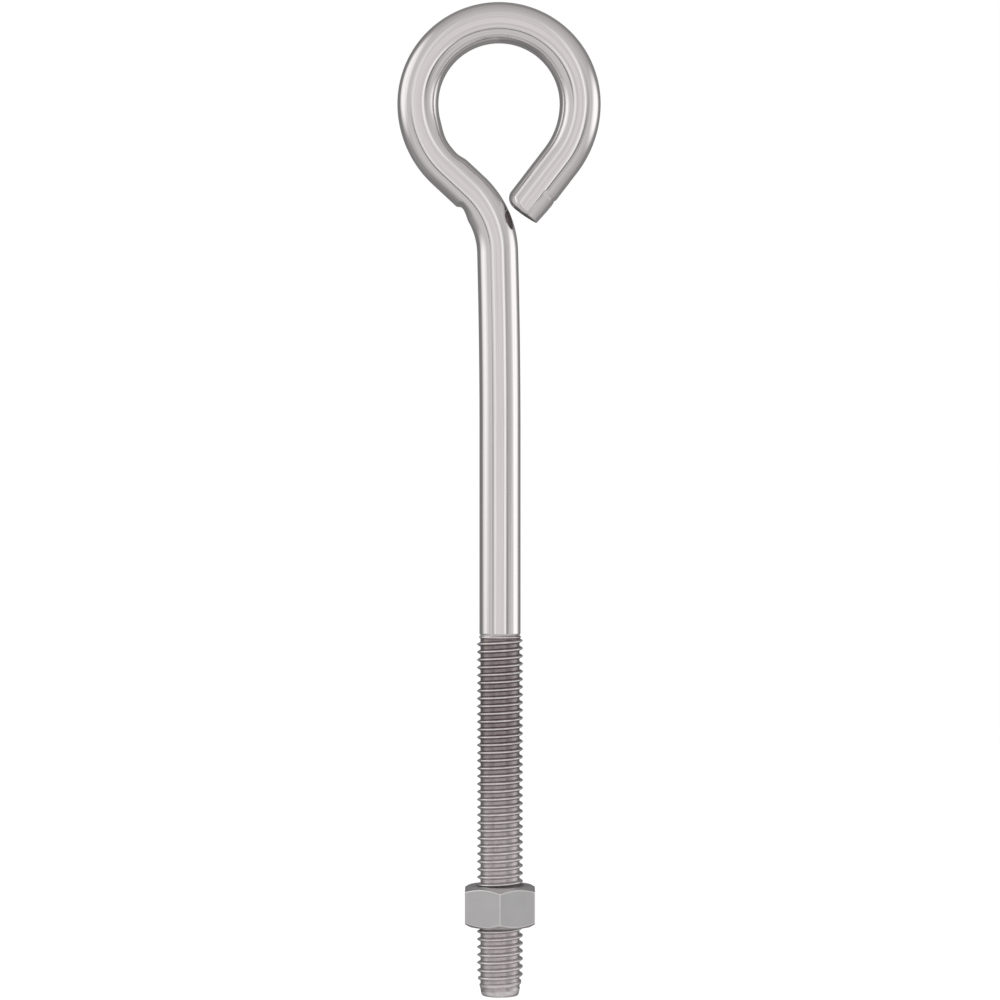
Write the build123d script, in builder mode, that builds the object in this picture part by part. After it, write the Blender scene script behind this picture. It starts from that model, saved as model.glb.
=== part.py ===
from build123d import *
import os
from math import cos, radians, sin, tan

# An eye bolt with its nut: one length of round wire, threaded at one end and bent to an open eye at the other,
# and a plain hex nut on the thread. Millimetres, +Z from the threaded tip to the eye, the eye in the XZ plane,
# origin at the centre of the tip's end face.

inch = 25.4

# Wire and overall size
overall_length = 8 * inch
wire_radius = 4.2

# Thread: 3/8 in, 16 threads per inch, right-hand. Each flank leans 30 degrees off square to the axis, and the
# groove's middle passes the +X side at groove_phase of a pitch above the tip's end face.
pitch = inch / 16
flank_slope = tan(radians(30))
bolt_crest_radius = 4.70
bolt_pitch_radius = 4.18
bolt_root_radius = 3.80
nut_pitch_radius = 4.315
nut_bore_radius = 4.02
nut_root_radius = 4.86
groove_phase = 0.25
thread_length = 73.6
flank_points = 5
rod_sections = 6

# Top of the thread: a short collar as wide as the crests, which carries the wire's thinner shank
collar_height = 1.2
collar_chamfer = 0.4

# Tip: the end face's radius, and the height at which the cone has widened to the crests
tip_radius = 3.75
tip_taper = 4.5
tip_length = 4 * pitch

# Eye: the wire's centreline goes round the eye's middle on eye_radius, and comes in and leaves on wider arcs
eye_inner_radius = 12.4
eye_radius = eye_inner_radius + wire_radius
eye_x = -0.2
eye_z = overall_length - eye_radius - wire_radius
entry_radius = 18.3
entry_angle = 46
exit_radius = 19.0
exit_angle = 37
eye_turn = 181.5
tail_length = 13.4

# Neck: a long gentle sweep to the left, then the reverse bend that leads into the eye
lean_radius = 1400
lean_angle = 1.5
neck_radius = 17.6
neck_angle = 47

# Sheared end of the wire: a face a little off square, rolled over on the eye's inner side
shear_tilt = 3
shear_roll = 2.4
shear_margin = 1.0

# Hex nut: 9/16 in across flats, 21/64 in thick
nut_across_flats = 9 / 16 * inch
nut_thickness = 21 / 64 * inch
nut_centre_z = 18.4
nut_face_radius = 6.5
nut_countersink_radius = 4.95
nut_chamfer_slope = tan(radians(30))
nut_blank_radius = 0.6 * nut_across_flats
nut_thread_margin = 1.0

# Ring of the nut's own steel, in a closed ring-shaped space in the nut's wall
ring_inner_radius = 5.40
ring_outer_radius = 6.40
ring_height = 4.9
ring_gap = 0.05

nut_bottom = nut_centre_z - nut_thickness / 2
nut_top = nut_centre_z + nut_thickness / 2

# The point, in X and Z, where the straight arm above the neck meets the entry arc. The entry arc touches the eye's
# arc from outside its centre, and the arm runs square to `across`.
across = Vector(cos(radians(neck_angle)), sin(radians(neck_angle)))
entry_offset = entry_radius - eye_radius
entry_heading = radians(180 + neck_angle - entry_angle)
entry_centre = Vector(eye_x, eye_z) - Vector(cos(entry_heading), sin(entry_heading)) * entry_offset
arm_end = entry_centre - across * entry_radius

# The heights between which the shank leans, so that the neck's bend ends on the line of the arm
bend_rise = neck_radius * (1 - cos(radians(neck_angle - lean_angle)))
lean_shift = lean_radius * (1 - cos(radians(lean_angle)))
lean_end = (arm_end.dot(across) + lean_shift * across.X - bend_rise) / across.Y
lean_start = lean_end - lean_radius * sin(radians(lean_angle))


def threaded_rod(bottom, length, root_radius, crest_radius, pitch_radius):
    """A threaded rod: its cross-section, turned once per pitch on the way up, so that its ridges are helices."""

    def groove_angle(radius):
        return 360 / pitch * (pitch / 4 + (radius - pitch_radius) * flank_slope)

    def rim_point(radius, angle):
        return (radius * cos(radians(angle)), radius * sin(radians(angle)))

    middle = 360 * (bottom / pitch - groove_phase)
    steps = [root_radius + (crest_radius - root_radius) * i / flank_points for i in range(flank_points + 1)]
    rising = [rim_point(radius, middle + groove_angle(radius)) for radius in steps]
    falling = [rim_point(radius, middle - groove_angle(radius)) for radius in reversed(steps)]
    with BuildPart() as rod:
        with BuildSketch(Plane.XY.offset(bottom)):
            with BuildLine():
                Spline(*rising)
                ThreePointArc(rising[-1], rim_point(crest_radius, middle + 180), falling[0])
                Spline(*falling)
                ThreePointArc(falling[-1], rim_point(root_radius, middle), rising[0])
            make_face()
        with BuildLine():
            axis_line = Line((0, 0, bottom), (0, 0, bottom + length))
        with BuildLine(mode=Mode.PRIVATE):
            twist = Helix(pitch, length, crest_radius, center=(0, 0, bottom))
        sweep(path=axis_line, binormal=twist)
    return rod.part


# Tip of the bolt: a few turns, tapered so that a nut starts easily
with BuildPart() as tip:
    add(threaded_rod(0, tip_length, bolt_root_radius, bolt_crest_radius, bolt_pitch_radius))
    with BuildSketch(Plane.XZ):
        with BuildLine():
            cone_height = 2 * tip_length
            cone_radius = tip_radius + (bolt_crest_radius - tip_radius) / tip_taper * cone_height
            Polyline((0, 0), (tip_radius, 0), (cone_radius, cone_height), (0, cone_height), close=True)
        make_face()
    revolve(axis=Axis.Z, mode=Mode.INTERSECT)

# Eye bolt
with BuildPart() as eye_bolt:
    add(tip.part)
    rod_length = (thread_length - collar_height - tip_length) / rod_sections
    for section in range(rod_sections):
        base = tip_length + section * rod_length
        add(threaded_rod(base, rod_length, bolt_root_radius, bolt_crest_radius, bolt_pitch_radius))
    with BuildSketch(Plane.XY.offset(thread_length - collar_height)):
        Circle(bolt_crest_radius)
    extrude(amount=collar_height)
    chamfer(eye_bolt.edges().sort_by(Axis.Z)[-1], length=collar_chamfer)
    with BuildLine(Plane.XZ) as centreline:
        shank = Line((0, thread_length), (0, lean_start))
        lean = JernArc(shank @ 1, shank % 1, lean_radius, lean_angle)
        neck = JernArc(lean @ 1, lean % 1, neck_radius, neck_angle - lean_angle)
        arm = Line(neck @ 1, (arm_end.X, arm_end.Y))
        entry = JernArc(arm @ 1, arm % 1, entry_radius, -entry_angle)
        eye = JernArc(entry @ 1, entry % 1, eye_radius, -eye_turn)
        exit_bend = JernArc(eye @ 1, eye % 1, exit_radius, -exit_angle)
    with BuildSketch(Plane.XY.offset(thread_length)):
        Circle(wire_radius)
    sweep(path=centreline.line)

# Tail: the wire's straight end. Seen from the side its face is a little off square, and the face's corner is
# rolled over on the eye's inner side.
with BuildPart() as tail:
    rim = wire_radius + shear_margin
    lean_of_face = rim * tan(radians(shear_tilt))
    with BuildSketch(Plane(origin=exit_bend @ 1, x_dir=(0, 1, 0), z_dir=exit_bend % 1)):
        Circle(wire_radius)
    extrude(amount=tail_length + lean_of_face)
    with BuildSketch(Plane(origin=exit_bend @ 1, x_dir=exit_bend % 1, z_dir=(0, 1, 0))):
        with BuildLine():
            inner_side = (-shear_margin, wire_radius)
            inner_corner = (tail_length + wire_radius * tan(radians(shear_tilt)), wire_radius)
            outer_corner = (tail_length - lean_of_face, -rim)
            FilletPolyline(inner_side, inner_corner, outer_corner, radius=shear_roll)
            Polyline(outer_corner, (-shear_margin, -rim), inner_side)
        make_face()
    extrude(amount=rim, both=True, mode=Mode.INTERSECT)

with BuildPart() as whole_bolt:
    add(eye_bolt.part)
    add(tail.part)

# Hex nut: a corner towards the front, 30 degree chamfers at both faces, countersunk and threaded
with BuildPart() as hex_nut:
    with BuildSketch(Plane.XY.offset(nut_bottom)):
        RegularPolygon(nut_across_flats / 2, 6, major_radius=False, rotation=30)
    extrude(amount=nut_thickness)
    with BuildSketch(Plane.XZ):
        with BuildLine():
            drop = (nut_blank_radius - nut_face_radius) * nut_chamfer_slope
            Polyline(
                (0, nut_bottom),
                (nut_face_radius, nut_bottom),
                (nut_blank_radius, nut_bottom + drop),
                (nut_blank_radius, nut_top - drop),
                (nut_face_radius, nut_top),
                (0, nut_top),
                close=True,
            )
        make_face()
    revolve(axis=Axis.Z, mode=Mode.INTERSECT)
    with BuildSketch(Plane.XZ):
        with BuildLine():
            sink = nut_countersink_radius - nut_bore_radius
            Polyline(
                (0, nut_bottom),
                (nut_countersink_radius, nut_bottom),
                (nut_bore_radius, nut_bottom + sink),
                (nut_bore_radius, nut_top - sink),
                (nut_countersink_radius, nut_top),
                (0, nut_top),
                close=True,
            )
        make_face()
    revolve(axis=Axis.Z, mode=Mode.SUBTRACT)
    add(
        threaded_rod(
            nut_bottom - nut_thread_margin,
            nut_thickness + 2 * nut_thread_margin,
            nut_bore_radius,
            nut_root_radius,
            nut_pitch_radius,
        ),
        mode=Mode.SUBTRACT,
    )
    with BuildSketch(Plane.XY.offset(nut_centre_z - ring_height / 2 - ring_gap)):
        Circle(ring_outer_radius + ring_gap)
        Circle(ring_inner_radius - ring_gap, mode=Mode.SUBTRACT)
    extrude(amount=ring_height + 2 * ring_gap, mode=Mode.SUBTRACT)

with BuildPart() as nut_core_ring:
    with BuildSketch(Plane.XY.offset(nut_centre_z - ring_height / 2)):
        Circle(ring_outer_radius)
        Circle(ring_inner_radius, mode=Mode.SUBTRACT)
    extrude(amount=ring_height)

whole_bolt.part.label = "eye_bolt"
hex_nut.part.label = "hex_nut"
nut_core_ring.part.label = "nut_core_ring"

os.makedirs("parts", exist_ok=True)
export_step(whole_bolt.part, "parts/eye_bolt.step")
export_step(hex_nut.part, "parts/hex_nut.step")
export_step(nut_core_ring.part, "parts/nut_core_ring.step")
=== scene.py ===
from math import atan2, ceil, cos, floor, hypot, pi, radians, sin, sqrt, tan

import bmesh
import bpy
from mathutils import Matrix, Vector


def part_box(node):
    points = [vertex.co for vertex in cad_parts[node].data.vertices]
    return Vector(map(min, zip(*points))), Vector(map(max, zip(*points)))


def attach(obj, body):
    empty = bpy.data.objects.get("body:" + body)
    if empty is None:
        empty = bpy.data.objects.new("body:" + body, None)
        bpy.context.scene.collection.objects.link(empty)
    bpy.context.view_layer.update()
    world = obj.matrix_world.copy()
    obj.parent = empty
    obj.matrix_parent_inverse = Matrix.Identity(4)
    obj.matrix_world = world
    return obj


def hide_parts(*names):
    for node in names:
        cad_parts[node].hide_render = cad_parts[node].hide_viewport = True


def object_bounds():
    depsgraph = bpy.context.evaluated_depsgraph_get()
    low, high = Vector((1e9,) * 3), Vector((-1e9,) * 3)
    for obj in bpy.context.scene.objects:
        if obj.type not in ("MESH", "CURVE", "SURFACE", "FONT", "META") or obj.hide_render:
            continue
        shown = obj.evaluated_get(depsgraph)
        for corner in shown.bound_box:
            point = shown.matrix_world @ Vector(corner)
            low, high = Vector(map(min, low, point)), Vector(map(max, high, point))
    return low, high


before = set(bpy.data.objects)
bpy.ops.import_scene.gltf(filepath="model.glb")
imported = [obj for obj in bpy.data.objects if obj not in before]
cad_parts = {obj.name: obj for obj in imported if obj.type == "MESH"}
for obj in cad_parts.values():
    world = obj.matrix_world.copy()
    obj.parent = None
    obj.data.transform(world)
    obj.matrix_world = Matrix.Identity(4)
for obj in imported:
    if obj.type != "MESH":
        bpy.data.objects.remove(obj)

cad_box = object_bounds()

# Lengths below are in millimetres, unless they say otherwise, and MM turns them into the scene's metres.
MM = 0.001

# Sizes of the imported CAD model
_, bolt_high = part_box("eye_bolt")
nut_low, nut_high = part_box("hex_nut")
overall_length = bolt_high[2] / MM
crest_radius = bolt_high[1] / MM
across_flats = (nut_high[0] - nut_low[0]) / MM
nut_bottom = nut_low[2] / MM
nut_top = nut_high[2] / MM

# Wire and thread
wire_radius = 4.2
pitch = 25.4 / 16
pitch_radius = 4.18
root_radius = 3.80
flank_slope = tan(radians(30))
ridge_phase = 0.75
thread_rounding = 0.10
thread_top = 73.7
runout = 1.3
neck_groove_radius = 4.0
bevel_height = 0.4
bead_drop = 0.38
bead_half_width = 0.30
bead_rise = 0.30
tip_radius = 3.75
tip_taper = 4.5
tip_rim = 0.35
tip_dish = 0.06
# Painted highlight on the tip: how deep the cone must cut for it, its most, and its strength on the end face
tip_highlight_depth = 0.25
tip_highlight_most = 0.95
tip_face_highlight = 0.9

# Eye, neck and tail: the wire's centreline
eye_radius = 16.6
eye_x = -0.2
eye_z = overall_length - eye_radius - wire_radius
entry_radius = 18.3
entry_angle = radians(46)
exit_radius = 19.0
exit_angle = radians(37)
eye_turn = radians(181.5)
tail_length = 13.4
lean_radius = 1400
lean_angle = radians(1.5)
neck_radius = 17.6
neck_angle = radians(47)

# Sheared end of the wire
shear_tilt = tan(radians(3))
shear_roll = 2.4
shear_edge = 0.12

# Marks that bending and shearing left on the wire: their depths, where they start and end along it, and the
# angles from their middle where they begin and where they are whole
shoulder_depth = 0.62
shoulder_step = (-1.3, 0.15)
shoulder_fade = (-5.4, -1.4)
shoulder_sides = (radians(52), radians(22))
pin_flat_place = 4.6
pin_flat_depth = 0.40
pin_flat_start = (0, 2.8)
pin_flat_end = (6.5, 12.5)
pin_flat_sides = (radians(62), radians(10))
facet_place = 7.5
facet_first_depth = 0.06
facet_deepening = 0.34
facet_start = (0, 0.25)
facet_sides = (radians(69), radians(65))
nick_depth = 0.16
nick_start = (-0.5, 0)
nick_end = (0, 0.5)

# Hex nut
nut_face_radius = 6.5
chamfer_angle = radians(30)
countersink_radius = 4.95
corner_rounding = 0.5
edge_rounding = 0.22
face_rounding = 0.3
nut_pitch_radius = 4.315
nut_bore_radius = 4.02
nut_root_radius = 4.86
smallest_chamfer_width = 0.08
smallest_chamfer_drop = 0.05
nut_face_rows = (5.6, 6.3)

# Heights above which the thread gets its full painted shade, darker towards its top, and below which that
# painted shade is gone
painted_shade_above = 58
painted_shade_gone_below = 24

# How strong the painted highlight on the nut's edges is, from 0 for satin to 1; it also makes them smoother
corner_glint = 0.8
chamfer_glint = 0.35
countersink_glint = 0.6
bore_glint = 0.75

# Mesh density, with HOLDING the distance from an edge to the row that holds it sharp
BOLT_COLUMNS = 72
BOLT_ROWS_PER_PITCH = 16
NUT_ROWS_PER_PITCH = 12
RING_STEP = 0.4
HOLDING = 0.05
BEVEL_ROWS = 4
SHEAR_SIDE_ROWS = 6
SHEAR_ROLL_ROWS = 10
TIP_FACE_SHARES = (1.0, 0.93, 0.7, 0.4, 0.15, 0.0)
SHEARED_FACE_SHARES = (0.98, 0.8, 0.55, 0.3, 0.1, 0.0)
FLAT_SHARES = (-0.985, -0.9, -0.7, -0.5, -0.3, -0.1, 0.1, 0.3, 0.5, 0.7, 0.9, 0.985)
WALL_SHARES = (0.02, 0.2, 0.5, 1.0)
CORNER_STEPS = 6
CHAMFER_STEPS = 3
EDGE_STEPS = 5

# Welding distance in metres, and the angle from which an edge is shaded sharp
WELD = 2e-7
SHARP_ANGLE = radians(50)

# Material slots
WIRE_SLOT, THREAD_SLOT, SHEARED_SLOT = 0, 1, 2
SATIN_SLOT, BORE_SLOT = 0, 1


def between(low, high, value):
    """0 below low, 1 above high, and a smooth rise between them."""
    share = min(1, max(0, (value - low) / (high - low)))
    return share * share * (3 - 2 * share)


def soft_min(a, b, reach):
    """The smaller of two lengths, with the corner between them rounded over `reach`."""
    share = min(1, max(0, 0.5 + 0.5 * (b - a) / reach))
    return b + (a - b) * share - reach * share * (1 - share)


def ridge(axial, crest, middle, root):
    """Radius of a thread's surface at an axial distance from its nearest crest."""
    flank = middle + (pitch / 4 - axial) / flank_slope
    rounded_crest = soft_min(crest, flank, thread_rounding)
    return -soft_min(-rounded_crest, -root, thread_rounding)


def from_crest(turn, height):
    """Axial distance from a point of the thread to the nearest crest; turn is in turns from +X towards +Y."""
    share = (height / pitch - ridge_phase - turn) % 1
    return min(share, 1 - share) * pitch


# --------------------------------------------------------------------------------------------------
# Mesh building


class Skin:
    """A mesh being built. Each point has its place in millimetres, its place before the wire was bent, which
    steers the grain, and how near it is to a crest or an edge, from 0 to 1, which sets where painted shade
    and painted highlight go."""

    def __init__(self):
        self.points = []
        self.drawn = []
        self.crest = []
        self.faces = []
        self.slots = []

    def point(self, place, drawn, crest):
        self.points.append(place)
        self.drawn.append(drawn)
        self.crest.append(crest)
        return len(self.points) - 1

    def grid(self, rows, columns, index, slot):
        """Quads between neighbouring rows and columns of `index(row, column)`, facing outwards."""
        for row in range(rows):
            for column in range(columns):
                a, b = index(row, column), index(row, column + 1)
                c, d = index(row + 1, column + 1), index(row + 1, column)
                self.faces.append((a, b, c, d))
                self.slots.append(slot)

    def build(self, name, materials):
        """The welded mesh as an object in the scene."""
        mesh = bpy.data.meshes.new(name)
        mesh.from_pydata([[axis * MM for axis in place] for place in self.points], [], self.faces)
        drawn = mesh.attributes.new("drawn", "FLOAT_VECTOR", "POINT")
        drawn.data.foreach_set("vector", [axis for place in self.drawn for axis in place])
        crest = mesh.attributes.new("crest", "FLOAT", "POINT")
        crest.data.foreach_set("value", self.crest)
        mesh.polygons.foreach_set("material_index", self.slots)
        for material in materials:
            mesh.materials.append(material)
        welded = bmesh.new()
        welded.from_mesh(mesh)
        bmesh.ops.remove_doubles(welded, verts=welded.verts, dist=WELD)
        bmesh.ops.dissolve_degenerate(welded, edges=welded.edges, dist=WELD)
        bmesh.ops.recalc_face_normals(welded, faces=welded.faces)
        welded.to_mesh(mesh)
        welded.free()
        mesh.shade_smooth()
        mesh.set_sharp_from_angle(angle=SHARP_ANGLE)
        made = bpy.data.objects.new(name, mesh)
        bpy.context.scene.collection.objects.link(made)
        return made


def screw_skin(skin, turns, rows_per_pitch, bottom, top, radius_at, slot):
    """A thread's surface between two heights. Its rows climb one pitch a turn, so crests are clean lines."""
    columns = len(turns)
    first = floor(bottom / pitch) - 1
    last = ceil(top / pitch) + 1
    rows = (last - first) * rows_per_pitch
    made = []
    for row in range(rows + rows_per_pitch + 1):
        for turn in turns:
            height = (first + row / rows_per_pitch + turn) * pitch
            height = min(top, max(bottom, height))
            radius, crest = radius_at(turn, height)
            x, y = radius * cos(2 * pi * turn), radius * sin(2 * pi * turn)
            made.append(skin.point((x, y, height), (x, y, height), crest))

    def index(row, column):
        if column == columns:
            return made[(row + rows_per_pitch) * columns]
        return made[row * columns + column]

    skin.grid(rows, columns, index, slot)


def ring_skin(skin, rings, slot):
    """Quads between closed rings of points, one after another."""

    def index(row, column):
        return rings[row][column % len(rings[row])]

    skin.grid(len(rings) - 1, len(rings[0]), index, slot)


# --------------------------------------------------------------------------------------------------
# The wire's centreline


def carry_on(place, curvature, distance):
    """The x, z and heading that far along a run. A heading of 0 looks along +Z, and it grows towards -X."""
    x, z, heading = place
    if curvature == 0:
        return x - sin(heading) * distance, z + cos(heading) * distance, heading
    turned = heading + curvature * distance
    x += (cos(turned) - cos(heading)) / curvature
    z += (sin(turned) - sin(heading)) / curvature
    return x, z, turned


def wire_runs():
    """The centreline's runs from the thread to the wire's end, each as (name, start distance, start place,
    curvature), and the wire's length."""
    across_x, across_z = cos(neck_angle), sin(neck_angle)
    centre_heading = pi + neck_angle - entry_angle
    centre_offset = entry_radius - eye_radius
    arm_end_x = eye_x - cos(centre_heading) * centre_offset - across_x * entry_radius
    arm_end_z = eye_z - sin(centre_heading) * centre_offset - across_z * entry_radius
    bend_rise = neck_radius * (1 - cos(neck_angle - lean_angle))
    lean_shift = lean_radius * (1 - cos(lean_angle))
    arm_line = arm_end_x * across_x + arm_end_z * across_z
    lean_end = (arm_line + lean_shift * across_x - bend_rise) / across_z
    lean_start = lean_end - lean_radius * sin(lean_angle)
    place = (0.0, thread_top, 0.0)
    distance = 0.0
    runs = []
    for name, length, curvature in (
        ("shank", lean_start - thread_top, 0),
        ("lean", lean_radius * lean_angle, 1 / lean_radius),
        ("neck", neck_radius * (neck_angle - lean_angle), 1 / neck_radius),
        ("arm", None, 0),
        ("entry", entry_radius * entry_angle, -1 / entry_radius),
        ("eye", eye_radius * eye_turn, -1 / eye_radius),
        ("exit", exit_radius * exit_angle, -1 / exit_radius),
        ("tail", tail_length, 0),
    ):
        if length is None:
            length = hypot(arm_end_x - place[0], arm_end_z - place[1])
        runs.append((name, distance, place, curvature))
        place = carry_on(place, curvature, length)
        distance += length
    return runs, distance


runs, wire_length = wire_runs()
run_start = {name: start for name, start, _, _ in runs}


def wire_at(distance):
    """The centreline's x, z and heading at a distance from the top of the thread."""
    _, start, place, curvature = [run for run in runs if run[1] <= distance][-1]
    return carry_on(place, curvature, distance - start)


# --------------------------------------------------------------------------------------------------
# Marks that bending and shearing left on the wire, as the depth lost at a distance along it and an angle
# round it. The angle is 0 on the eye's inner side and 180 degrees on its outer side.


def past(edge, ends, distance):
    """0 before the first and 1 after the second of two ends, which are counted from an edge."""
    return between(edge + ends[0], edge + ends[1], distance)


def shoulder_mark(distance, around):
    """The step that the bending tool pressed into the neck's outer side, which fades towards the shank."""
    edge = run_start["arm"]
    step = 1 - past(edge, shoulder_step, distance)
    fade = past(edge, shoulder_fade, distance)
    side = between(*shoulder_sides, abs(around - pi))
    return shoulder_depth * step * fade * side


def inner_flat(distance, around):
    """The flat that the bending pin left on the inner side, where the arm meets the eye."""
    edge = run_start["arm"] + pin_flat_place
    length = past(edge, pin_flat_start, distance) * (1 - past(edge, pin_flat_end, distance))
    side = between(*pin_flat_sides, min(around, 2 * pi - around))
    return pin_flat_depth * length * side


def tail_facet(distance, around):
    """The facet that the cut-off die pressed into the tail's outer side, with a nick where it starts."""
    edge = run_start["tail"] + facet_place
    depth = facet_first_depth + facet_deepening * between(edge + 1.0, wire_length + 1.5, distance)
    facet = past(edge, facet_start, distance) * depth
    nick = nick_depth * past(edge, nick_start, distance) * (1 - past(edge, nick_end, distance))
    side = between(*facet_sides, abs(around - pi))
    return (facet + nick) * side


def wire_surface(distance, around):
    """The wire's radius at a distance along it and an angle round it."""
    marks = shoulder_mark(distance, around) + inner_flat(distance, around) + tail_facet(distance, around)
    return wire_radius - marks


# --------------------------------------------------------------------------------------------------
# Materials


class Nodes:
    """A material's node tree, with one line of code for each node."""

    def __init__(self, name):
        self.material = bpy.data.materials.new(name)
        self.material.use_nodes = True
        self.tree = self.material.node_tree
        self.shader = self.tree.nodes["Principled BSDF"]

    def add(self, kind, inputs=(), **settings):
        node = self.tree.nodes.new(kind)
        for setting, value in settings.items():
            setattr(node, setting, value)
        for socket, value in dict(inputs).items():
            self.put(node, socket, value)
        return node

    def put(self, node, socket, value):
        """A link if the value is another node's output, or else the socket's own value."""
        if isinstance(value, bpy.types.NodeSocket):
            self.tree.links.new(value, node.inputs[socket])
        else:
            node.inputs[socket].default_value = value

    def noise(self, vector, scale, detail=3.0):
        """Grain from a vector, stretched by a scale along each axis."""
        mapping = self.add("ShaderNodeMapping", {"Vector": vector, "Scale": scale})
        inputs = {"Vector": mapping.outputs["Vector"], "Scale": 1.0, "Detail": detail}
        return self.add("ShaderNodeTexNoise", inputs).outputs["Fac"]

    def ramp(self, factor, stops):
        """A colour ramp; each stop is (place, (red, green, blue))."""
        node = self.add("ShaderNodeValToRGB", {"Fac": factor})
        elements = node.color_ramp.elements
        while len(elements) > 1:
            elements.remove(elements[-1])
        for number, (place, colour) in enumerate(stops):
            element = elements[0] if number == 0 else elements.new(place)
            element.position = place
            element.color = (*colour, 1)
        return node.outputs["Color"]

    def spread(self, factor, low, high):
        """The middle of a noise, spread over a range."""
        inputs = {"Value": factor, "From Min": 0.3, "From Max": 0.7, "To Min": low, "To Max": high}
        return self.add("ShaderNodeMapRange", inputs).outputs["Result"]

    def mix(self, factor, a, b, blend_type="MIX"):
        inputs = {"Factor": factor, 6: a, 7: b}
        return self.add("ShaderNodeMix", inputs, data_type="RGBA", blend_type=blend_type).outputs[2]

    def bump(self, height, strength, depth, below=None):
        """A bumped normal, laid over the normal `below` if there is one."""
        inputs = {"Height": height, "Strength": strength, "Distance": depth * MM}
        if below is not None:
            inputs["Normal"] = below
        return self.add("ShaderNodeBump", inputs).outputs["Normal"]


def grey(level, warmth=0.0):
    """A nearly neutral steel colour; warmth takes a little green and blue away."""
    return (level, level * (1 - warmth), level * (1 - warmth * 1.1))


def drawn_wire_material():
    """Bright drawn steel: fine lines along the wire, and patches that are a little less polished."""
    n = Nodes("drawn_wire")
    drawn = n.add("ShaderNodeAttribute", attribute_name="drawn").outputs["Vector"]
    lines = n.noise(drawn, (3.2, 3.2, 0.012))
    fine = n.noise(drawn, (11.0, 11.0, 0.03), 4.0)
    patches = n.noise(drawn, (0.35, 0.35, 0.12))
    base = n.ramp(lines, ((0.30, grey(0.74, 0.02)), (0.45, grey(0.88, 0.015)), (0.62, grey(0.92, 0.01))))
    tint = n.ramp(fine, ((0.32, grey(0.86)), (0.50, grey(0.97)), (0.70, grey(1.0))))
    n.put(n.shader, "Base Color", n.mix(0.75, base, tint, "MULTIPLY"))
    rough = n.add("ShaderNodeMath", {0: n.spread(fine, 0.0, 0.05), 1: n.spread(patches, 0.05, 0.12)})
    n.put(n.shader, "Roughness", rough.outputs["Value"])
    n.put(n.shader, "Normal", n.bump(fine, 0.18, 0.01, n.bump(lines, 0.25, 0.02)))
    n.put(n.shader, "Metallic", 1.0)
    return n.material


def thread_material(name, dull, bright):
    """Threaded steel with painted shade in its roots and a painted highlight on its crests, both a little
    uneven with wear, and more painted shade that is strongest at its top and fades out lower down. Each of
    dull and bright is a (root, flank, crest) set of colours: dull the shaded set, bright the lit one."""
    n = Nodes(name)
    height = n.add("ShaderNodeAttribute", attribute_name="crest").outputs["Fac"]
    place = n.add("ShaderNodeAttribute", attribute_name="drawn").outputs["Vector"]
    grain = n.noise(place, (1.1, 1.1, 1.6))
    wear = n.noise(place, (0.5, 0.5, 0.35))
    # Painted shade in the roots and painted highlight on the crests, made a little uneven by wear
    painted_light_and_wear = n.add("ShaderNodeMath", {0: height, 1: n.spread(wear, -0.08, 0.08)}, use_clamp=True)
    # Painted shade that darkens the thread towards its top and fades out lower down
    along = n.add("ShaderNodeSeparateXYZ", {"Vector": place}).outputs["Z"]
    inputs = {"Value": along, "From Min": painted_shade_above, "From Max": painted_shade_gone_below}
    painted_shade_lifting = n.add("ShaderNodeMapRange", inputs, interpolation_type="SMOOTHSTEP").outputs["Result"]
    shades = []
    for root, flank, crest in (dull, bright):
        stops = ((0.0, root), (0.55, flank), (0.80, flank), (0.95, crest))
        shades.append(n.ramp(painted_light_and_wear.outputs["Value"], stops))
    tint = n.ramp(grain, ((0.30, grey(0.86, 0.02)), (0.50, grey(0.97)), (0.68, grey(1.0))))
    n.put(n.shader, "Base Color", n.mix(1.0, n.mix(painted_shade_lifting, *shades), tint, "MULTIPLY"))
    n.put(n.shader, "Roughness", n.spread(grain, 0.27, 0.37))
    n.put(n.shader, "Normal", n.bump(grain, 0.2, 0.02))
    n.put(n.shader, "Metallic", 1.0)
    return n.material


def nut_material():
    """Satin steel: fine even grain, a few soft marks, and edges with a painted highlight that are also
    smoother.
    """
    n = Nodes("nut_satin")
    place = n.add("ShaderNodeAttribute", attribute_name="drawn").outputs["Vector"]
    edge = n.add("ShaderNodeAttribute", attribute_name="crest").outputs["Fac"]
    grain = n.noise(place, (7.0, 7.0, 7.0), 6.0)
    marks = n.noise(place, (0.25, 0.25, 0.3))
    base = n.ramp(marks, ((0.30, grey(0.64, -0.02)), (0.55, grey(0.67, -0.02)), (0.75, grey(0.69, -0.02))))
    tint = n.ramp(grain, ((0.30, grey(0.93)), (0.55, grey(1.0))))
    satin = n.mix(1.0, base, tint, "MULTIPLY")
    # Painted highlight: the edges' colour goes nearly white where the glint is high
    n.put(n.shader, "Base Color", n.mix(edge, satin, (1.0, 0.99, 0.98, 1)))
    # The edges are also smoother, as polished steel is
    inputs = {0: edge, 1: -0.16, 2: n.spread(grain, 0.28, 0.38)}
    rough = n.add("ShaderNodeMath", inputs, operation="MULTIPLY_ADD")
    n.put(n.shader, "Roughness", rough.outputs["Value"])
    n.put(n.shader, "Normal", n.bump(grain, 0.12, 0.02))
    n.put(n.shader, "Metallic", 1.0)
    return n.material


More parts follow.
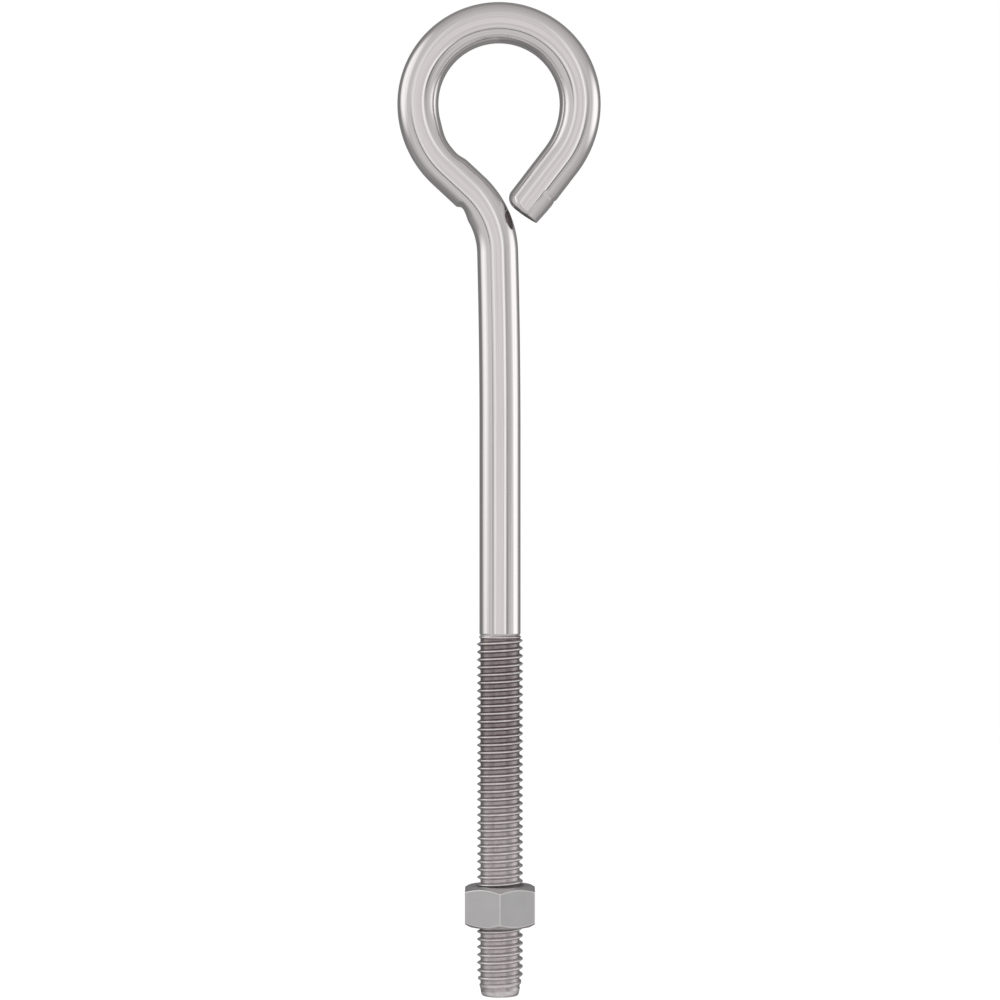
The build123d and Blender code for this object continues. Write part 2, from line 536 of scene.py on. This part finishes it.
def sheared_material():
    """The torn, dull face that shearing left at the wire's end."""
    n = Nodes("sheared_face")
    place = n.add("ShaderNodeAttribute", attribute_name="drawn").outputs["Vector"]
    tears = n.noise(place, (1.0, 3.5, 1.0), 5.0)
    n.put(n.shader, "Base Color", n.ramp(tears, ((0.30, grey(0.15, 0.16)), (0.70, grey(0.38, 0.10)))))
    n.put(n.shader, "Roughness", n.spread(tears, 0.38, 0.55))
    n.put(n.shader, "Normal", n.bump(tears, 0.6, 0.06))
    n.put(n.shader, "Metallic", 1.0)
    return n.material


# --------------------------------------------------------------------------------------------------
# Eye bolt

bolt_turns = [column / BOLT_COLUMNS for column in range(BOLT_COLUMNS)]


def bolt_thread_radius(turn, height):
    """The rolled thread's radius and how near it is to a crest, which sets its painted shade and highlight.
    It ends in a groove and a small bead under the shank, which gets a crest's painted highlight, and a cone
    cuts it down at the tip, where the cut gets a painted highlight like a crest's."""
    full = ridge(from_crest(turn, height), crest_radius, pitch_radius, root_radius)
    crest = (full - root_radius) / (crest_radius - root_radius)
    fullness = between(0, runout, thread_top - height)
    radius = neck_groove_radius + (full - neck_groove_radius) * fullness
    bead = max(0.0, 1 - ((thread_top - bead_drop - height) / bead_half_width) ** 2)
    radius = max(radius, neck_groove_radius + bead_rise * bead)
    # Painted highlight on the bead, as bright as a crest's
    crest = max(crest, bead)
    cone = tip_radius + (crest_radius - tip_radius) * height / tip_taper
    # Painted highlight where the cone cuts the tip down
    crest = max(crest, min(tip_highlight_most, max(0.0, (radius - cone) / tip_highlight_depth)))
    radius = soft_min(radius, cone, thread_rounding)
    if height < tip_rim:
        rim = tip_radius - tip_rim + sqrt(tip_rim**2 - (tip_rim - height) ** 2)
        radius = min(radius, rim)
    return radius, crest


def tip_face(skin):
    """The tip's end face, a little dished inside its rim."""
    rings = []
    for share in TIP_FACE_SHARES:
        radius = (tip_radius - tip_rim) * share
        dish = tip_dish * between(1.0, 0.9, share)
        places = [(radius * cos(2 * pi * turn), radius * sin(2 * pi * turn), dish) for turn in bolt_turns]
        # The end face gets a painted highlight
        rings.append([skin.point(place, place, tip_face_highlight) for place in places])
    ring_skin(skin, rings[::-1], THREAD_SLOT)


def bolt_ring(skin, place_at, *values):
    """A ring of points round the wire. place_at(around, *values) gives each point's radius and its distance
    along the wire."""
    ring = []
    for turn in bolt_turns:
        around = 2 * pi * turn
        radius, along = place_at(around, *values)
        x, z, heading = wire_at(along)
        side, depth = radius * cos(around), radius * sin(around)
        place = (x + side * cos(heading), depth, z + side * sin(heading))
        drawn = (wire_radius * cos(around), wire_radius * sin(around), thread_top + along)
        ring.append(skin.point(place, drawn, 1.0))
    return ring


def bevel_place(around, share):
    """The bevel between the thread's last groove, at share 0, and the shank, at share 1."""
    swell = neck_groove_radius + (wire_radius - neck_groove_radius) * sin(share * pi / 2)
    return swell, share * bevel_height


def wire_place(around, station):
    """The wire's side, with its marks."""
    return wire_surface(station, around), station


def wire_stations():
    """Distances of the wire's rings: wide apart on the shank, and close at the shoulder and the nick."""
    stations = [bevel_height + HOLDING]
    while stations[-1] < wire_length - shear_roll:
        station = stations[-1]
        near_shoulder = run_start["arm"] - 6 < station < run_start["arm"] + 2
        near_nick = run_start["tail"] + 6 < station
        if near_shoulder or near_nick:
            step = RING_STEP / 2
        elif station < run_start["lean"]:
            step = 5 * RING_STEP
        else:
            step = RING_STEP
        stations.append(station + step)
    return stations


def end_distance(side):
    """How far along the wire its sheared face is, at `side` from the centreline towards the eye's middle."""
    return wire_length + side * shear_tilt


def shear_rounding(around):
    """Radius of the sheared edge: a wide roll on the inner side, and nearly sharp outside."""
    inner = (1 + cos(around)) / 2
    return shear_edge + (shear_roll - shear_edge) * inner**1.5


def last_side_place(around, last, share):
    """The wire's side from its last whole ring, at share 0, to where the edge's rounding starts, at 1."""
    stop = end_distance(wire_radius * cos(around)) - shear_rounding(around)
    along = last + (stop - last) * share
    return wire_surface(along, around), along


def sheared_edge_place(around, share):
    """The rounding of the sheared edge, from the side, at share 0, to the face, at share 1."""
    angle = share * pi / 2
    roll = shear_rounding(around)
    stop = end_distance(wire_radius * cos(around)) - roll
    radius = wire_surface(stop, around) - roll * (1 - cos(angle))
    return radius, end_distance(radius * cos(around)) - roll * (1 - sin(angle))


def sheared_face_place(around, share):
    """The sheared face, from its middle, at share 0, to its rim, at share 1."""
    rim = wire_surface(wire_length, around) - shear_rounding(around)
    return rim * share, end_distance(rim * share * cos(around))


def make_eye_bolt():
    """The whole bolt as one closed skin, from the tip's face to the sheared face."""
    skin = Skin()
    screw_skin(skin, bolt_turns, BOLT_ROWS_PER_PITCH, 0.0, thread_top, bolt_thread_radius, THREAD_SLOT)
    tip_face(skin)
    stations = wire_stations()
    rings = []
    for row in range(BEVEL_ROWS + 1):
        rings.append(bolt_ring(skin, bevel_place, row / BEVEL_ROWS))
    for station in stations:
        rings.append(bolt_ring(skin, wire_place, station))
    for row in range(1, SHEAR_SIDE_ROWS + 1):
        rings.append(bolt_ring(skin, last_side_place, stations[-1], row / SHEAR_SIDE_ROWS))
    for row in range(1, SHEAR_ROLL_ROWS + 1):
        rings.append(bolt_ring(skin, sheared_edge_place, row / SHEAR_ROLL_ROWS))
    ring_skin(skin, rings, WIRE_SLOT)
    face = [rings[-1]]
    for share in SHEARED_FACE_SHARES:
        face.append(bolt_ring(skin, sheared_face_place, share))
    ring_skin(skin, face, SHEARED_SLOT)

    # Root, flank and crest colours: dull under the painted shade at the thread's top, bright lower down
    dull = (grey(0.34, 0.10), grey(0.48, 0.08), grey(0.98, 0.02))
    bright = (grey(0.62, 0.05), grey(0.74, 0.04), grey(1.0, 0.01))
    materials = [drawn_wire_material(), thread_material("rolled_thread", dull, bright), sheared_material()]
    bolt = skin.build("eye_bolt_steel", materials)
    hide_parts("eye_bolt")
    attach(bolt, "bolt")


# --------------------------------------------------------------------------------------------------
# Hex nut


def hex_outline():
    """The nut's outline as (turn, radius) points in order: six flats with a small rounding between them."""
    apothem = across_flats / 2
    rounding_centre = (apothem - corner_rounding) / cos(radians(30))
    flat_half = (apothem - corner_rounding) * tan(radians(30))
    outline = []
    for side in range(6):
        corner = radians(60 * side + 30)
        for step in range(CORNER_STEPS + 1):
            normal = corner + radians(60 * step / CORNER_STEPS - 30)
            x = rounding_centre * cos(corner) + corner_rounding * cos(normal)
            y = rounding_centre * sin(corner) + corner_rounding * sin(normal)
            outline.append((x, y))
        flat = corner + radians(30)
        for share in FLAT_SHARES:
            along = flat_half * share
            x = apothem * cos(flat) - along * sin(flat)
            y = apothem * sin(flat) + along * cos(flat)
            outline.append((x, y))
    points = [((atan2(y, x) / (2 * pi)) % 1, hypot(x, y)) for x, y in outline]
    return sorted(points)


def nut_profile(radius):
    """One side of the nut's section where its outline has this radius, from the countersink's edge to
    half-way down the wall, as (radius, drop, glint) points."""
    chamfer_slope = tan(chamfer_angle)
    chamfer_drop = (radius - nut_face_radius) * chamfer_slope
    face_reach = face_rounding * tan(chamfer_angle / 2)
    points = [(countersink_radius, 0.0, countersink_glint)]
    face_end = nut_face_radius - face_reach - HOLDING
    for flat_radius in (countersink_radius + HOLDING, *nut_face_rows, face_end):
        points.append((flat_radius, 0.0, 0.0))
    for step in range(CHAMFER_STEPS + 1):
        angle = chamfer_angle * step / CHAMFER_STEPS
        x = nut_face_radius - face_reach + face_rounding * sin(angle)
        points.append((x, face_rounding * (1 - cos(angle)), chamfer_glint))
    turn = radians(90) - chamfer_angle
    edge_reach = edge_rounding * tan(turn / 2)
    slope_radius = radius - edge_reach * cos(chamfer_angle) - 0.01
    slope_drop = (slope_radius - nut_face_radius) * chamfer_slope
    slope_radius = max(slope_radius, nut_face_radius + smallest_chamfer_width)
    points.append((slope_radius, max(slope_drop, smallest_chamfer_drop), 0.1))
    wall_top = chamfer_drop + edge_reach
    for step in range(EDGE_STEPS + 1):
        angle = turn * (1 - step / EDGE_STEPS)
        x = radius - edge_rounding + edge_rounding * cos(angle)
        points.append((x, wall_top - edge_rounding * sin(angle), corner_glint))
    half_thickness = (nut_top - nut_bottom) / 2
    flat_end = hypot(across_flats / 2, (across_flats / 2 - corner_rounding) * tan(radians(30)))
    glint = between(flat_end, flat_end + 0.15, radius) * corner_glint
    for share in WALL_SHARES:
        points.append((radius, wall_top + (half_thickness - wall_top) * share, glint))
    return points


def nut_bore_radius_at(turn, height):
    """The radius of the nut's thread, opened by a countersink at each face, and how near it is to a crest."""
    full = ridge(from_crest(turn, height + pitch / 2), nut_root_radius, nut_pitch_radius, nut_bore_radius)
    inside = min(nut_top - height, height - nut_bottom)
    sink = countersink_radius - inside
    crest = (nut_root_radius - full) / (nut_root_radius - nut_bore_radius)
    # The crests inside the bore get a painted highlight
    return max(full, sink), bore_glint * crest


def make_nut():
    """The nut as one closed skin: its bore, and then each half of its outside."""
    skin = Skin()
    outline = hex_outline()
    turns = [turn for turn, _ in outline]
    screw_skin(skin, turns, NUT_ROWS_PER_PITCH, nut_bottom, nut_top, nut_bore_radius_at, BORE_SLOT)
    profiles = [(turn, nut_profile(radius)) for turn, radius in outline]
    for face_height, sense in ((nut_top, -1), (nut_bottom, 1)):
        rings = []
        for row in range(len(profiles[0][1])):
            ring = []
            for turn, profile in profiles:
                radius, drop, glint = profile[row]
                x, y = radius * cos(2 * pi * turn), radius * sin(2 * pi * turn)
                place = (x, y, face_height + sense * drop)
                ring.append(skin.point(place, place, glint))
            rings.append(ring)
        ring_skin(skin, rings, SATIN_SLOT)
    # The bore's colours, darker all over than the bolt's thread: painted shade inside the bore, deepest in
    # its roots
    shades = (grey(0.25, 0.10), grey(0.40, 0.08), grey(0.70, 0.03))
    bore = thread_material("nut_bore", shades, shades)
    nut = skin.build("hex_nut_steel", [nut_material(), bore])
    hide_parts("hex_nut", "nut_core_ring")
    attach(nut, "nut")


# --------------------------------------------------------------------------------------------------
# Studio


# The tent's light at so many degrees off the viewer's direction. Levels here are the display greys, from 0 to
# 255, that show in bright steel.
TENT = ((0, 207), (60, 194), (100, 168), (125, 132), (180, 112))

# Where a card stands is given in degrees: round the object from the viewer's side, positive to the right, and
# up from level. Each card is (round, up, half width, half height, soft share, level).
CARDS = (
    (29, 4, 9, 55, 1.0, 248),  # front strip, right
    (-27, 4, 12, 55, 1.0, 228),  # front strip, left
    (47, -4, 13, 45, 0.9, 162),  # gap at the right
    (-138, 0, 30, 60, 0.6, 118),  # gap at the left
    (-150, -50, 100, 38, 0.8, 118),  # ground behind
    (-112, -24, 34, 22, 0.9, 138),  # low left
    (-90, 20, 34, 38, 0.6, 246),  # soft box, left
    (98, 4, 33, 27, 0.7, 255),  # soft box, right
)

# The seam round the tent's front panel, which is darkest low down and fades out above
SEAM_ANGLE = 40
SEAM_HALF_WIDTH = 5.5
SEAM_LEVEL = 70
SEAM_FADE = (0.3, -0.18)

# How warm the light is from the front, from the rest of the tent, and from the cards
FRONT_TINT = 0.06
TENT_TINT = 0.045
CARD_TINT = 0.02

STEEL_REFLECTANCE = 0.86

# The floor: its height and half its width in metres, its grey and its glow
FLOOR_Z = -0.25
FLOOR_HALF = 4.0
FLOOR_BASE = 0.55
FLOOR_GLOW = 0.80

# The camera: its distance and what it frames, in heights of the bolt, and how far below the middle it is
CAMERA_DISTANCE = 3.35
FRAMED_HEIGHT = 1.007
CAMERA_DROP = 0.25 * MM


def linear(level):
    """The light that shows as a display grey from 0 to 255 when bright steel reflects it."""
    return ((level / 255 + 0.055) / 1.055) ** 2.4 / STEEL_REFLECTANCE


def light_colour(level, tint):
    """A level's light as a colour; tint takes a little green and blue away."""
    light = linear(level)
    return (light, light * (1 - tint), light * (1 - tint * 0.95), 1)


class WorldNodes:
    """The world's node tree, with one line of code for each step of the sum."""

    def __init__(self, world):
        self.nodes, self.links = world.node_tree.nodes, world.node_tree.links

    def put(self, socket, value):
        if isinstance(value, bpy.types.NodeSocket):
            self.links.new(value, socket)
        else:
            socket.default_value = value

    def math(self, operation, *values):
        node = self.nodes.new("ShaderNodeMath")
        node.operation = operation
        for socket, value in zip(node.inputs, values):
            self.put(socket, value)
        return node.outputs["Value"]

    def degrees(self, operation, *values):
        return self.math("DEGREES", self.math(operation, *values))

    def rise(self, value, start, end):
        """0 at start and 1 at end, with a smooth rise between them."""
        node = self.nodes.new("ShaderNodeMapRange")
        node.interpolation_type = "SMOOTHSTEP"
        for socket, number in (("Value", value), ("From Min", start), ("From Max", end)):
            self.put(node.inputs[socket], number)
        return node.outputs["Result"]

    def mix(self, factor, a, b):
        node = self.nodes.new("ShaderNodeMix")
        node.data_type = "RGBA"
        for number, value in ((0, factor), (6, a), (7, b)):
            self.put(node.inputs[number], value)
        return node.outputs[2]


def studio_light(w, x, y, z):
    """The tent's light from a direction: a gradient, the cards in order, and the seam of the front panel."""
    off_front = w.degrees("ARCCOSINE", w.math("MULTIPLY", y, -1.0))
    around = w.degrees("ARCTAN2", x, w.math("MULTIPLY", y, -1.0))
    up = w.degrees("ARCSINE", z)
    light = light_colour(TENT[0][1], FRONT_TINT)
    for (start, _), (end, level) in zip(TENT, TENT[1:]):
        light = w.mix(w.rise(off_front, start, end), light, light_colour(level, TENT_TINT))
    for card_around, card_up, half_width, half_height, soft, level in CARDS:
        across = w.math("DIVIDE", w.math("SUBTRACT", around, card_around), half_width)
        upwards = w.math("DIVIDE", w.math("SUBTRACT", up, card_up), half_height)
        reach = w.math("SQRT", w.math("ADD", w.math("POWER", across, 2.0), w.math("POWER", upwards, 2.0)))
        light = w.mix(w.rise(reach, 1.0, 1 - soft), light, light_colour(level, CARD_TINT))
    seam_reach = w.math("ABSOLUTE", w.math("SUBTRACT", off_front, SEAM_ANGLE))
    seam = w.rise(seam_reach, SEAM_HALF_WIDTH, 0.0)
    off_axis = w.math("SQRT", w.math("ADD", w.math("MULTIPLY", x, x), w.math("MULTIPLY", z, z)))
    seam = w.math("MULTIPLY", seam, w.rise(w.math("DIVIDE", z, off_axis), *SEAM_FADE))
    return w.mix(seam, light, light_colour(SEAM_LEVEL, FRONT_TINT))


def make_world():
    """A tent with soft boxes, strips and dark gaps for the steel to reflect, and white for the camera."""
    world = bpy.data.worlds.new("studio")
    bpy.context.scene.world = world
    world.use_nodes = True
    w = WorldNodes(world)
    direction = w.nodes.new("ShaderNodeTexCoord").outputs["Generated"]
    parts = w.nodes.new("ShaderNodeSeparateXYZ")
    w.links.new(direction, parts.inputs["Vector"])
    tent, paper = w.nodes["Background"], w.nodes.new("ShaderNodeBackground")
    w.put(tent.inputs["Color"], studio_light(w, *parts.outputs))
    paper.inputs["Color"].default_value = (1, 1, 1, 1)
    both = w.nodes.new("ShaderNodeMixShader")
    w.put(both.inputs["Fac"], w.nodes.new("ShaderNodeLightPath").outputs["Is Camera Ray"])
    w.put(both.inputs[1], tent.outputs["Background"])
    w.put(both.inputs[2], paper.outputs["Background"])
    w.put(w.nodes["World Output"].inputs["Surface"], both.outputs["Shader"])


def make_floor():
    """A wide pale floor under everything that the nut can reach."""
    mesh = bpy.data.meshes.new("floor")
    signs = ((-1, -1), (1, -1), (1, 1), (-1, 1))
    corners = [(FLOOR_HALF * x, FLOOR_HALF * y, FLOOR_Z) for x, y in signs]
    mesh.from_pydata(corners, [], [(0, 1, 2, 3)])
    n = Nodes("floor_paper")
    n.put(n.shader, "Base Color", (FLOOR_BASE, FLOOR_BASE, FLOOR_BASE, 1))
    n.put(n.shader, "Roughness", 1.0)
    n.put(n.shader, "Specular IOR Level", 0.0)
    n.put(n.shader, "Emission Color", (1, 1, 1, 1))
    n.put(n.shader, "Emission Strength", FLOOR_GLOW)
    mesh.materials.append(n.material)
    made = bpy.data.objects.new("floor", mesh)
    bpy.context.scene.collection.objects.link(made)
    made.visible_glossy = False


def make_overhead_light():
    """A large soft light overhead, for the faint shadow on the floor."""
    light = bpy.data.lights.new("overhead", "AREA")
    light.shape = "SQUARE"
    light.size = 1.0
    light.energy = 4.0
    made = bpy.data.objects.new("overhead", light)
    made.location = (0, -0.2, 1.2)
    made.visible_camera = False
    made.visible_glossy = False
    bpy.context.scene.collection.objects.link(made)


def make_camera():
    """Level with the middle of the bolt, square to the eye, and far enough off for little perspective."""
    middle = (cad_box[0] + cad_box[1]) / 2
    height = cad_box[1].z - cad_box[0].z
    distance = CAMERA_DISTANCE * height
    camera = bpy.data.cameras.new("camera")
    camera.sensor_width = 36
    camera.lens = camera.sensor_width * distance / (FRAMED_HEIGHT * height)
    made = bpy.data.objects.new("camera", camera)
    made.location = (0, -distance, middle.z - CAMERA_DROP)
    made.rotation_euler = (pi / 2, 0, 0)
    bpy.context.scene.collection.objects.link(made)
    bpy.context.scene.camera = made


make_eye_bolt()
make_nut()
make_world()
make_floor()
make_overhead_light()
make_camera()
bpy.context.scene.view_settings.view_transform = "Standard"
